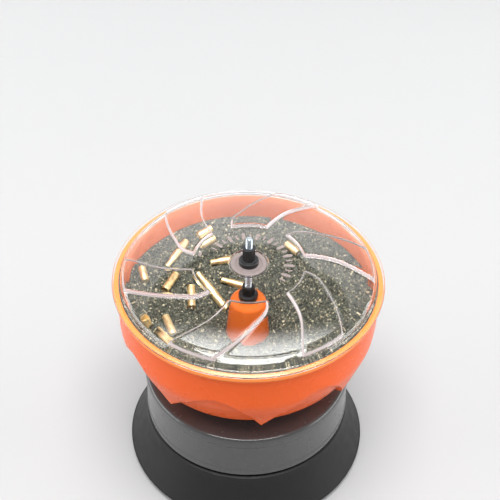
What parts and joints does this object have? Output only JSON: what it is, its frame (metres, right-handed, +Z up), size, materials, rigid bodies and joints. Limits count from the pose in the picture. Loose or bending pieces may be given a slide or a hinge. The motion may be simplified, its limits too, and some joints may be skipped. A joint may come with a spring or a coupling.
{
  "type": "vibratory tumbler",
  "caption": "Bowl-type vibratory tumbler: orange tub of polishing media under a clear vaned lid, clamped by a centre rod to a sprung motor housing on a flared base.",
  "frame": {"origin": "centre of the footprint, on the surface the rubber feet stand on", "axes": "+Z up along the centre rod, -Y the front, +Y the back where the switch and the cord inlet are, +X to the right"},
  "size_m": [0.3, 0.2998, 0.32],
  "materials": {
    "clear_plastic": "clear moulded plastic",
    "frosted_plastic": "frosted translucent",
    "black_plastic": "satin moulded",
    "zinc_steel": "bright zinc plate",
    "orange_plastic": "satin moulded",
    "crushed_media": "crushed granules",
    "cartridge_brass": "polished",
    "rubber": "matte",
    "housing_paint": "satin grey-black paint",
    "spring_steel": "oiled",
    "cast_alloy": "as cast",
    "laminations": "stacked sheet steel",
    "copper_winding": "varnished copper wire",
    "fan_plastic": "moulded",
    "cast_iron": "as cast",
    "base_plastic": "fine textured",
    "plate_steel": "black coated sheet",
    "switch_red": "gloss"
  },
  "bodies": {
    "base": {"base_shell": "base_plastic", "bottom_plate": "plate_steel", "rubber_foot_1": "rubber", "rubber_foot_2": "rubber", "rubber_foot_3": "rubber", "rubber_foot_4": "rubber", "foot_screw_1": "zinc_steel", "foot_screw_2": "zinc_steel", "foot_screw_3": "zinc_steel", "foot_screw_4": "zinc_steel", "suspension_spring_1": "spring_steel", "suspension_spring_2": "spring_steel", "suspension_spring_3": "spring_steel", "suspension_spring_4": "spring_steel", "cord_gland": "rubber", "switch_bezel": "black_plastic"},
    "rocker": {"switch_rocker": "switch_red"},
    "housing": {"motor_housing": "housing_paint", "centre_rod": "zinc_steel", "rod_nut_upper": "zinc_steel", "rod_nut_lower": "zinc_steel", "bowl_seat_ring": "rubber", "motor_bracket_upper": "cast_alloy", "motor_bracket_lower": "cast_alloy", "stator": "laminations", "winding_upper": "copper_winding", "winding_lower": "copper_winding", "bearing_upper": "spring_steel", "bearing_lower": "spring_steel", "motor_bolt_1": "zinc_steel", "motor_bolt_2": "zinc_steel", "motor_bolt_3": "zinc_steel", "motor_bolt_4": "zinc_steel"},
    "rotor": {"motor_shaft": "spring_steel", "rotor_core": "laminations", "cooling_fan": "fan_plastic", "eccentric_weight": "cast_iron", "weight_screw": "zinc_steel"},
    "tub": {"bowl": "orange_plastic", "polishing_media": "crushed_media", "spent_case_1": "cartridge_brass", "spent_case_2": "cartridge_brass", "spent_case_3": "cartridge_brass", "spent_case_4": "cartridge_brass", "spent_case_5": "cartridge_brass", "spent_case_6": "cartridge_brass", "spent_case_7": "cartridge_brass", "spent_case_8": "cartridge_brass", "spent_case_9": "cartridge_brass", "spent_case_10": "cartridge_brass", "spent_case_11": "cartridge_brass", "spent_case_12": "cartridge_brass", "spent_case_13": "cartridge_brass"},
    "tub_washer": {"bowl_washer": "zinc_steel"},
    "tub_nut": {"bowl_nut": "black_plastic"},
    "cover": {"lid": "clear_plastic"},
    "cover_washer": {"lid_washer": "frosted_plastic"},
    "cover_nut": {"lid_nut": "black_plastic"}
  },
  "joints": [
    {"name": "suspension_bounce", "type": "slide", "parent": "base", "child": "housing", "axis": [0, 0, 1], "range_m": [-0.003, 0.003], "stiffness_N_per_m": 30000, "springref_m": 0.003, "deforming": ["suspension_spring_1", "suspension_spring_2", "suspension_spring_3", "suspension_spring_4"]},
    {"name": "rotor_spin", "type": "hinge", "parent": "housing", "child": "rotor", "pos_m": [0, 0, 0.06], "axis": [0, 0, 1], "continuous": true},
    {"name": "bowl_lift", "type": "slide", "parent": "housing", "child": "tub", "axis": [0, 0, 1], "range_m": [0, 0.2]},
    {"name": "bowl_nut_rise", "type": "slide", "parent": "tub", "child": "tub_washer", "axis": [0, 0, 1], "range_m": [0, 0.01]},
    {"name": "bowl_nut_turn", "type": "hinge", "parent": "tub_washer", "child": "tub_nut", "pos_m": [0, 0, 0.24], "axis": [0, 0, 1], "range_deg": [0, 2880]},
    {"name": "lid_lift", "type": "slide", "parent": "tub", "child": "cover", "axis": [0, 0, 1], "range_m": [0, 0.1]},
    {"name": "lid_nut_rise", "type": "slide", "parent": "cover", "child": "cover_washer", "axis": [0, 0, 1], "range_m": [0, 0.015]},
    {"name": "lid_nut_turn", "type": "hinge", "parent": "cover_washer", "child": "cover_nut", "pos_m": [0, 0, 0.295], "axis": [0, 0, 1], "range_deg": [0, 4320]},
    {"name": "power_switch", "type": "hinge", "parent": "base", "child": "rocker", "pos_m": [-0.014, 0.142, 0.027], "axis": [1, 0, 0], "range_deg": [-20, 0]}
  ],
  "couplings": [
    {"joint": "bowl_nut_turn", "follows": "bowl_nut_rise", "rad_per_m": 5026.5},
    {"joint": "lid_nut_turn", "follows": "lid_nut_rise", "rad_per_m": 5026.5}
  ]
}
